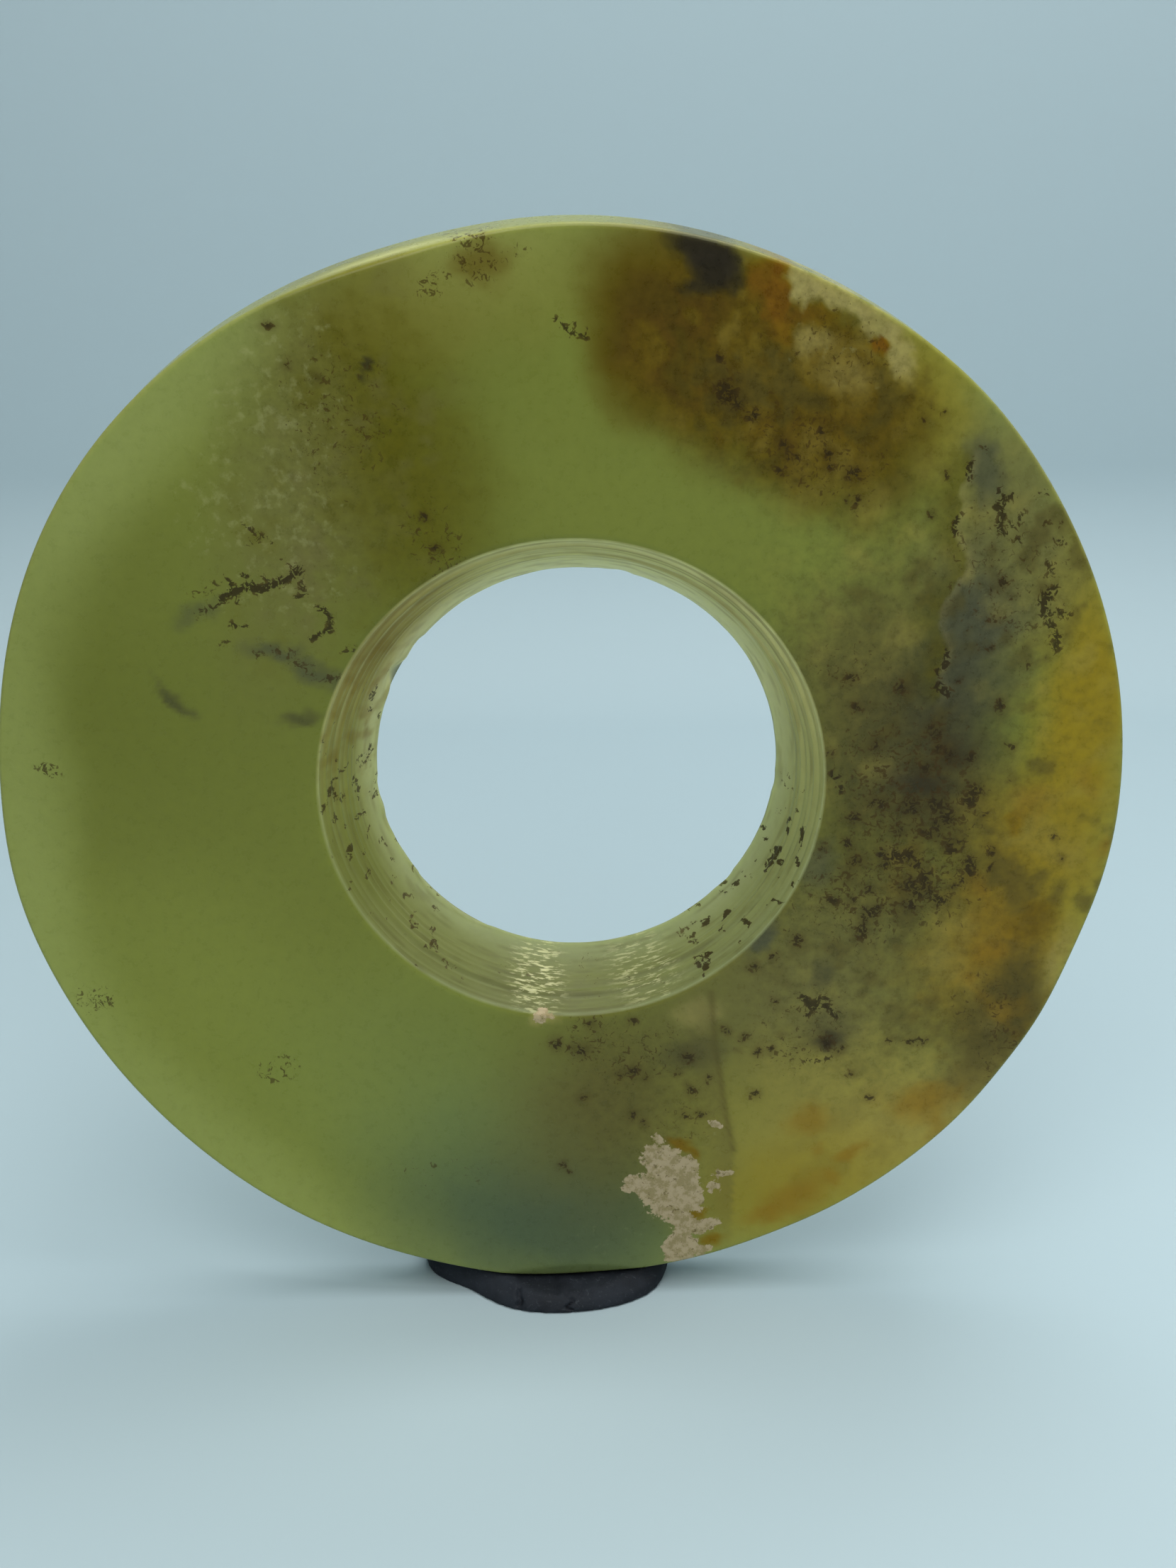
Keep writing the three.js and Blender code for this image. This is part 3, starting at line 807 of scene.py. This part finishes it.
jade = {
    # how strongly faces and the hole are lit, by height from the middle: red, green and blue
    # the colours are divided by these, so the stone is painted lighter where they are low: painted light,
    # a little lower on the faces and most at the top of the hole's wall
    "faceLight": [
        (-60, 0.65, 0.71, 0.735), (0, 0.73, 0.79, 0.79), (60, 0.82, 0.88, 0.875),
    ],
    "wallLight": [
        (-22, 1.20, 1.22, 1.19), (-11, 0.88, 0.93, 0.90), (0, 0.58, 0.65, 0.65), (11, 0.42, 0.52, 0.53),
        (22, 0.38, 0.485, 0.505),
    ],
    "veil": (0.0075, 0.0095, 0.0100),  # what its polish reflects
    "roughness": 0.3,
    "relief": (2.5, 0.35, 0.35, 0.25, 0.12),
    "sockets": {
        "IOR": 1.6,
        "Specular IOR Level": 0.15,
        "Subsurface Weight": 0.25,
        "Subsurface Radius": (0.9, 1.0, 0.45),
        "Subsurface Scale": 3.0 * mm,
    },
    "mottle": 0.03,
    "cloudyMottle": 0.2,
    "speckSize": 0.7,
    "speckStrength": 0.9,
    "fleckStrength": 0.22,
    "glintStrength": 0.75,
    "chalkStrength": 0.95,
    "pitStrength": 0.7,
    "chalk": (152, 143, 115),
    "chalkShade": (128, 121, 88),
    "chalkPits": (84, 76, 48),
    "speck": (44, 39, 25),
    "brownSpeck": (58, 47, 16),
    "fleckAndGlint": (148, 155, 108),
    # painted glint on the ledges
    "ledgeGlint": (176, 182, 138),
}


def litBy(points, onWall):
    # how strongly each point is lit, by colour; the stone's colours are divided by it, which paints light
    # where less falls
    by = [np.array(jade[place]) for place in ("faceLight", "wallLight")]
    face, wall = (np.stack([np.interp(points[:, 2], t[:, 0], t[:, i]) for i in (1, 2, 3)], 1) for t in by)
    return face + (wall - face) * onWall[:, None]


def linear(look):
    share = np.asarray(look, float) / 255
    return np.where(share > 0.04, ((share + 0.055) / 1.055) ** 2.4, share / 12.92)


def underLight(look, light=jade["faceLight"][1][1:]):
    # the colour to paint, from how it looks divided by how strongly it is lit
    return np.clip((linear(look) - jade["veil"]) / light, 0.001, 0.95)


def storeColours(mesh, name, channels):
    attribute = mesh.attributes.new(name, "FLOAT_COLOR", "POINT")
    attribute.data.foreach_set("color", np.stack(channels, 1).astype(np.float32).ravel())


def makeDisc():
    rows = discRows()
    count = disc["segments"]
    points, kinds = discPoints(rows)
    faces = []
    for i in range(len(rows)):
        j = (i + 1) % len(rows)
        for k in range(count):
            n = (k + 1) % count
            faces.append((i * count + k, i * count + n, j * count + n, j * count + k))
    piece = makeMesh("jadeDisc", points * mm + np.array(discCentre), faces)
    rework(piece.data, lambda build: bmesh.ops.recalc_face_normals(build, faces=build.faces))
    piece.data.shade_smooth()

    onWall = (kinds == "wall").astype(float)
    colours = underLight(stoneColour(points, onWall), litBy(points, onWall))
    clouded = strongest(drift(points, gentle), mottledAreas) * (1 - onWall)
    storeColours(piece.data, "stoneColour", [*colours.T, clouded])
    storeColours(piece.data, "marksAndGlints", marksAndGlints(points, onWall))
    return piece


jadeDisc = makeDisc()
print("disc made:", len(jadeDisc.data.polygons), "faces")


# The putty

putty = {
    "voxel": 0.28,
    "softening": 6,
    "lumpSize": 6.0,
    "lumpHeight": 0.3,
    "pressSize": 2.2,
    "pressHeight": 0.12,
    "cracks": [  # from the disc's middle: x, top, bottom, wander, width, depth
        (-5.9, -60.3, -62.4, 0.12, 0.50, 0.9),
        (0.05, -60.7, -62.7, 0.35, 0.32, 0.8),
        (-1.5, -60.2, -60.8, 0.10, 0.20, 0.35),
        (1.3, -60.3, -61.0, 0.10, 0.22, 0.4),
        (2.7, -60.5, -61.1, 0.10, 0.18, 0.3),
    ],
    "relief": (1.4, 0.22, 0.4, 0.5, 0.15),
    "dustStrength": 0.25,
    "dark": (22, 26, 32),
    "light": (36, 41, 48),
    "dust": (72, 78, 84),
}


def makePutty():
    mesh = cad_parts["putty_foot"].data.copy()
    mesh.name = "puttyFoot"
    rework(mesh, lambda build: bmesh.ops.remove_doubles(build, verts=build.verts, dist=1e-6))
    piece = newObject("puttyFoot", mesh)
    remesh = piece.modifiers.new("remesh", "REMESH")
    remesh.mode = "VOXEL"
    remesh.voxel_size = putty["voxel"] * mm
    soften = piece.modifiers.new("soften", "SMOOTH")
    soften.factor = 0.5
    soften.iterations = putty["softening"]
    bpy.context.view_layer.update()
    shown = piece.evaluated_get(bpy.context.evaluated_depsgraph_get())
    mesh = bpy.data.meshes.new_from_object(shown)
    piece.modifiers.clear()
    piece.data = mesh

    places = readVectors(mesh.vertices, "co")
    normals = readVectors(mesh.vertex_normals, "vector")
    spots = (places - np.array(discCentre)) / mm
    push = -putty["lumpHeight"] * np.abs(lumps(spots, putty["lumpSize"], 30, 2))
    push -= putty["pressHeight"] * np.abs(lumps(spots, putty["pressSize"], 31, 2))
    for at, top, bottom, wander, width, depth in putty["cracks"]:
        share = (top - spots[:, 2]) / (top - bottom)
        middle = at + wander * np.sin(spots[:, 2] * 5.2 + at * 3)
        across = (spots[:, 0] - middle) / (width * (0.35 + 0.65 * np.clip(share, 0, 1)))
        ends = smooth(-0.1, 0.2, share) * smooth(1.15, 0.85, share) * (spots[:, 1] < -3)
        push -= depth * np.exp(-2.2 * across ** 2) * ends
    low, high = (np.array(corner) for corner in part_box("putty_foot"))
    push *= smooth(0.0, 0.6, (places[:, 2] - low[2]) / mm)
    places = np.clip(places + normals * push[:, None] * mm, low, high)
    mesh.vertices.foreach_set("co", places.ravel())
    mesh.update()
    mesh.shade_smooth()
    return piece


puttyFoot = makePutty()
print("putty made:", len(puttyFoot.data.polygons), "faces")


# Small tools for shader nodes

def feed(tree, node, values):
    # gives a node's inputs their links or constants
    for key, value in values.items():
        if isinstance(value, bpy.types.NodeSocket):
            tree.links.new(value, node.inputs[key])
        else:
            node.inputs[key].default_value = value


def addNode(tree, kind, inputs=None, **settings):
    node = tree.nodes.new(kind)
    for name, value in settings.items():
        setattr(node, name, value)
    feed(tree, node, inputs or {})
    return node


def maths(tree, operation, *values):
    return addNode(tree, "ShaderNodeMath", dict(enumerate(values)), operation=operation).outputs[0]


def times(tree, *values):
    return maths(tree, "MULTIPLY", *values)


def ramp(tree, value, start, end, low=0.0, high=1.0):
    # smooth step from low at start to high at end
    inputs = {"Value": value, "From Min": start, "From Max": end, "To Min": low, "To Max": high}
    return addNode(tree, "ShaderNodeMapRange", inputs, interpolation_type="SMOOTHSTEP").outputs[0]


def blend(tree, amount, below, above):
    return addNode(tree, "ShaderNodeMix", {0: amount, 6: below, 7: above}, data_type="RGBA").outputs[2]


def grain(tree, place, size, detail=2.0, roughness=0.5, twist=0.0):
    # noise whose lumps are about size millimetres across
    scale = maths(tree, "DIVIDE", 1.0, size)
    return addNode(tree, "ShaderNodeTexNoise", {
        "Vector": place, "Scale": scale, "Detail": detail, "Roughness": roughness, "Distortion": twist,
    }).outputs["Fac"]


def fromDisc(tree, stretch=(1, 1, 1)):
    # millimetres from the disc's middle
    coordinates = addNode(tree, "ShaderNodeTexCoord").outputs["Object"]
    scale = [s / mm for s in stretch]
    location = [-c * s for c, s in zip(discCentre, scale)]
    inputs = {"Vector": coordinates, "Scale": scale, "Location": location}
    return addNode(tree, "ShaderNodeMapping", inputs).outputs[0]


def newGroup(name, defaults, result):
    # a group with a place, these other inputs and one output
    tree = bpy.data.node_groups.new(name, "ShaderNodeTree")
    tree.interface.new_socket("Place", in_out="INPUT", socket_type="NodeSocketVector")
    for label, value in defaults.items():
        socket = tree.interface.new_socket(label, in_out="INPUT", socket_type="NodeSocketFloat")
        socket.default_value = value
    tree.interface.new_socket(result, in_out="OUTPUT", socket_type="NodeSocketFloat")
    return tree, tree.nodes.new("NodeGroupInput").outputs, tree.nodes.new("NodeGroupOutput")


def placeGroup(tree, group, inputs):
    return addNode(tree, "ShaderNodeGroup", inputs, node_tree=group).outputs[0]


def makeSpeckGroup():
    # ragged specks; Amount, from 0 to 1, says how many there are
    defaults = {"Size": 1.0, "Amount": 0.5, "Edge": 0.05, "Twist": 1.1}
    tree, given, out = newGroup("raggedSpecks", defaults, "Mask")
    noise = grain(tree, given["Place"], given["Size"], 4.0, 0.62, given["Twist"])
    level = maths(tree, "SUBTRACT", 0.80, times(tree, given["Amount"], 0.42))
    mask = ramp(tree, noise, level, maths(tree, "ADD", level, given["Edge"]))
    feed(tree, out, {"Mask": times(tree, mask, ramp(tree, given["Amount"], 0.0, 0.1))})
    return tree


def makeGrainGroup():
    # fine relief from two sizes of noise, for a Bump node's height
    tree, given, out = newGroup("fineGrain", {"Coarse": 2.0, "Fine": 0.3, "Balance": 0.5}, "Height")
    coarse, fine = (grain(tree, given["Place"], given[label]) for label in ("Coarse", "Fine"))
    mix = addNode(tree, "ShaderNodeMix", {0: given["Balance"], 2: coarse, 3: fine}, data_type="FLOAT")
    feed(tree, out, {"Height": mix.outputs[0]})
    return tree


raggedSpecks = makeSpeckGroup()
fineGrain = makeGrainGroup()


def newMaterial(name):
    material = bpy.data.materials.new(name)
    material.use_nodes = True
    return material, material.node_tree, material.node_tree.nodes["Principled BSDF"]


def addRelief(tree, shader, place, relief):
    # coarse and fine lumps in millimetres, the fine ones' share, strength, and depth in millimetres
    coarse, fine, balance, strength, depth = relief
    grainy = {"Place": place, "Coarse": coarse, "Fine": fine, "Balance": balance}
    raised = {"Height": placeGroup(tree, fineGrain, grainy), "Strength": strength, "Distance": depth * mm}
    feed(tree, shader, {"Normal": addNode(tree, "ShaderNodeBump", raised).outputs[0]})


def cover(tree, colour, mask, strength, over):
    # lays one colour over another
    return blend(tree, times(tree, mask, strength), colour, over)


def plain(look):
    return (*linear(look), 1.0)


def paint(look):
    return (*underLight(look), 1.0)


def makeJade():
    material, tree, shader = newMaterial("oliveJade")
    place = fromDisc(tree)
    stone = addNode(tree, "ShaderNodeAttribute", attribute_name="stoneColour").outputs
    marks = addNode(tree, "ShaderNodeAttribute", attribute_name="marksAndGlints")
    split = addNode(tree, "ShaderNodeSeparateColor", {"Color": marks.outputs["Color"]}).outputs
    mineral, chalk, onWall, fleckAndGlint = *split, marks.outputs["Alpha"]

    # fine mottling of the stone
    mottle = grain(tree, place, 1.3, 6.0, 0.66)
    strength = ramp(tree, stone["Alpha"], 0.0, 1.0, jade["mottle"], jade["cloudyMottle"])
    change = times(tree, ramp(tree, mottle, 0.34, 0.66, -1.0, 1.0), strength)
    inputs = {0: stone["Color"], "Scale": maths(tree, "ADD", 1.0, change)}
    colour = addNode(tree, "ShaderNodeVectorMath", inputs, operation="SCALE").outputs[0]

    # pale flecks on the faces, and painted glints as bright dashes along the ledges low in the hole
    onFace = maths(tree, "SUBTRACT", 1.0, onWall)
    flecks = placeGroup(tree, raggedSpecks, {
        "Place": place, "Size": 1.2, "Amount": times(tree, fleckAndGlint, onFace), "Edge": 0.2,
        "Twist": 0.0})
    colour = cover(tree, colour, flecks, jade["fleckStrength"], paint(jade["fleckAndGlint"]))
    dashes = grain(tree, fromDisc(tree, (0.4, 2.4, 0.4)), 0.6, 3.0, 0.65)
    onLedges = times(tree, fleckAndGlint, onWall)
    glints = times(tree, onLedges, ramp(tree, dashes, 0.5, 0.62))
    colour = cover(tree, colour, glints, jade["glintStrength"], paint(jade["ledgeGlint"]))

    # dark mineral, brown where there is little of it
    specks = placeGroup(tree, raggedSpecks, {
        "Place": place, "Size": jade["speckSize"], "Amount": mineral, "Edge": 0.04})
    darkness = ramp(tree, mineral, 0.6, 0.85)
    speckColour = blend(tree, darkness, paint(jade["brownSpeck"]), paint(jade["speck"]))
    depth = ramp(tree, mineral, 0.4, 0.95, jade["speckStrength"] * 0.7, jade["speckStrength"])
    colour = cover(tree, colour, specks, depth, speckColour)

    # chalky crust, shaded and pitted
    grit = grain(tree, place, 0.9, 4.0, 0.7)
    grainy = times(tree, maths(tree, "SUBTRACT", grit, 0.47), 2.4)
    crumbled = ramp(tree, maths(tree, "ADD", chalk, grainy), 0.42, 0.6)
    chalkMask = times(tree, crumbled, ramp(tree, chalk, 0.02, 0.12))
    pale = ramp(tree, grit, 0.42, 0.58)
    crustColour = blend(tree, pale, paint(jade["chalkShade"]), paint(jade["chalk"]))
    colour = cover(tree, colour, chalkMask, jade["chalkStrength"], crustColour)
    pits = times(tree, chalkMask, ramp(tree, grain(tree, place, 0.6, 3.0, 0.6), 0.62, 0.68))
    colour = cover(tree, colour, pits, jade["pitStrength"], paint(jade["chalkPits"]))

    addRelief(tree, shader, place, jade["relief"])
    polish = ramp(tree, mottle, 0.3, 0.7, jade["roughness"] - 0.05, jade["roughness"] + 0.07)
    dull = times(tree, maths(tree, "MAXIMUM", chalkMask, onWall), 0.18)
    rough = maths(tree, "ADD", polish, dull)
    feed(tree, shader, {"Base Color": colour, "Roughness": rough, **jade["sockets"]})
    return material


def makePuttyMaterial():
    material, tree, shader = newMaterial("charcoalPutty")
    place = fromDisc(tree)
    tone = grain(tree, place, 5.0, 4.0, 0.6)
    colour = blend(tree, ramp(tree, tone, 0.35, 0.7), plain(putty["dark"]), plain(putty["light"]))
    dust = placeGroup(tree, raggedSpecks, {
        "Place": place, "Size": 0.5, "Amount": 0.5, "Edge": 0.06})
    colour = cover(tree, colour, dust, putty["dustStrength"], plain(putty["dust"]))
    addRelief(tree, shader, place, putty["relief"])
    rough = ramp(tree, tone, 0.3, 0.7, 0.62, 0.8)
    feed(tree, shader, {"Base Color": colour, "Roughness": rough, "Specular IOR Level": 0.2})
    return material


def dress(piece, material, node):
    piece.data.materials.clear()
    piece.data.materials.append(material)
    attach(piece, "root")
    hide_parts(node)


dress(jadeDisc, makeJade(), "jade_disc")
dress(puttyFoot, makePuttyMaterial(), "putty_foot")
print("materials made")


# A pale sheet that sweeps up behind, and soft light

studio = {
    "sheetHalfWidth": 1.2,
    "sheetFront": -1.2,
    "bendStart": 0.20,
    "bendRadius": 0.045,
    "sheetTop": 1.0,
    "sheetColour": (168, 187, 194),
    "roomColour": (0.43, 0.50, 0.53),
    "roomStrength": 0.5,
    "lights": [  # name, place, aim, width and depth, watts, colour
        ("overhead", (0.10, 0.06, 0.50), (0.06, 0.06, 0), (0.5, 0.3), 2.5, (1.0, 0.98, 0.95)),
        ("highFront", (-0.03, -0.34, 0.42), (0, -0.03, 0), (0.35, 0.3), 1.5, (1.0, 0.97, 0.93)),
        ("sideWindow", (0.75, 0.25, 0.35), (0.12, 0.16, 0.0), (0.3, 0.4), 1.3, (0.97, 0.99, 1.0)),
    ],
}


def makeSheet():
    section = [(studio["sheetFront"], 0.0)]
    for i in range(17):
        turn = math.pi / 2 * i / 16
        section.append((studio["bendStart"] + math.sin(turn) * studio["bendRadius"],
                        studio["bendRadius"] * (1 - math.cos(turn))))
    section.append((studio["bendStart"] + studio["bendRadius"], studio["sheetTop"]))
    wide = studio["sheetHalfWidth"]
    vertices = [(side * wide, y, z) for y, z in section for side in (-1, 1)]
    faces = [(2 * i, 2 * i + 1, 2 * i + 3, 2 * i + 2) for i in range(len(section) - 1)]
    piece = makeMesh("sheet", vertices, faces)
    piece.data.shade_smooth()
    material, tree, shader = newMaterial("palePaper")
    feed(tree, shader, {
        "Base Color": plain(studio["sheetColour"]), "Roughness": 0.9, "Specular IOR Level": 0.1})
    piece.data.materials.append(material)


def makeLights():
    for name, at, aim, size, power, colour in studio["lights"]:
        data = bpy.data.lights.new(name, "AREA")
        data.shape = "RECTANGLE"
        data.size, data.size_y = size
        data.energy = power
        data.color = colour
        lamp = newObject(name, data)
        lamp.location = at
        lamp.rotation_euler = (Vector(aim) - Vector(at)).to_track_quat("-Z", "Y").to_euler()
    world = bpy.data.worlds.new("room")
    world.use_nodes = True
    background = world.node_tree.nodes["Background"]
    room = {"Color": (*studio["roomColour"], 1.0), "Strength": studio["roomStrength"]}
    feed(world.node_tree, background, room)
    bpy.context.scene.world = world


makeSheet()
makeLights()
bpy.context.scene.view_settings.view_transform = "Standard"
print("stage and lights made")
